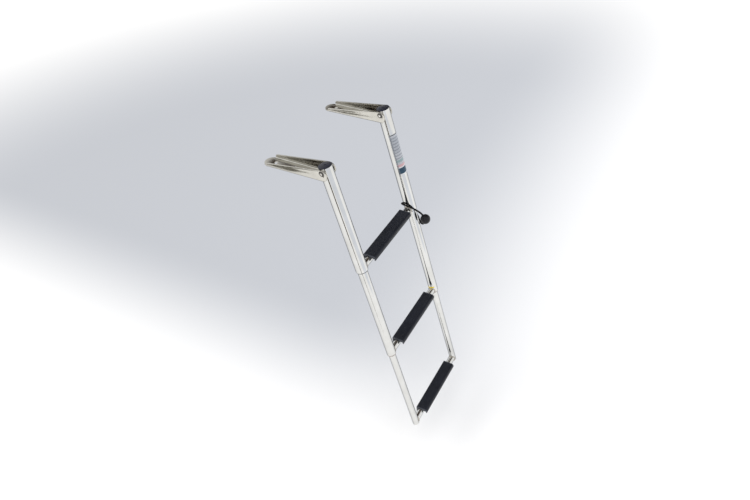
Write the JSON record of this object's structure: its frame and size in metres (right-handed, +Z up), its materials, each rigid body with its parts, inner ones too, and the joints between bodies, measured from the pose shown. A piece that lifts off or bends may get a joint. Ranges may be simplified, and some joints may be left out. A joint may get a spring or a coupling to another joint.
{
  "type": "boat boarding ladder",
  "caption": "Telescoping stainless boarding ladder for a swim platform, with moulded treads, hinged channel brackets and a bungee retainer.",
  "frame": {"origin": "on the swim platform's surface, at the centre of the brackets' mounting-hole rectangle", "axes": "+X outboard, away from the platform; +Y along the rungs towards the right rail; +Z up"},
  "size_m": [0.3677, 0.3048, 0.8665],
  "materials": {
    "stainless": "mirror-polished stainless steel",
    "dark_nylon": "moulded",
    "white_nylon": "moulded",
    "tread_plastic": "fine moulded grain",
    "printed_film": "printed vinyl",
    "yellow_tape": "vinyl tape",
    "elastic_cord": "braided sleeve over rubber",
    "ball_plastic": "satin moulded"
  },
  "bodies": {
    "brackets": {"left_bracket": "stainless", "left_pivot_bolt": "stainless", "left_barrel_nut": "stainless", "left_thrust_washers": "white_nylon", "right_bracket": "stainless", "right_pivot_bolt": "stainless", "right_barrel_nut": "stainless", "right_thrust_washers": "white_nylon"},
    "upper_section": {"left_upper_tube": "stainless", "left_top_plug": "dark_nylon", "left_pivot_sleeve": "stainless", "left_upper_bush": "dark_nylon", "right_upper_tube": "stainless", "right_top_plug": "dark_nylon", "right_pivot_sleeve": "stainless", "right_upper_bush": "dark_nylon", "upper_rung": "stainless", "upper_tread": "tread_plastic", "upper_tread_screws": "stainless", "rail_film": "printed_film", "bungee_cord": "elastic_cord", "bungee_ball": "ball_plastic"},
    "middle_section": {"left_middle_tube": "stainless", "left_middle_collar": "white_nylon", "left_middle_bush": "white_nylon", "right_middle_tube": "stainless", "right_middle_collar": "white_nylon", "right_middle_bush": "white_nylon", "middle_collar_rivets": "stainless", "middle_rung": "stainless", "middle_tread": "tread_plastic", "middle_tread_screws": "stainless", "marker_tape": "yellow_tape"},
    "lower_section": {"left_lower_tube": "stainless", "left_lower_collar": "white_nylon", "left_foot_plug": "white_nylon", "right_lower_tube": "stainless", "right_lower_collar": "white_nylon", "right_foot_plug": "white_nylon", "lower_collar_rivets": "stainless", "lower_rung": "stainless", "lower_tread": "tread_plastic", "lower_tread_screws": "stainless"}
  },
  "joints": [
    {"name": "fold", "type": "hinge", "parent": "brackets", "child": "upper_section", "pos_m": [0.0875, 0, 0.022], "axis": [0, -1, 0], "range_deg": [0, 258]},
    {"name": "middle_slide", "type": "slide", "parent": "upper_section", "child": "middle_section", "axis": [-0.2079, 0, 0.9781], "range_m": [0, 0.23]},
    {"name": "lower_slide", "type": "slide", "parent": "middle_section", "child": "lower_section", "axis": [-0.2079, 0, 0.9781], "range_m": [0, 0.259]}
  ]
}
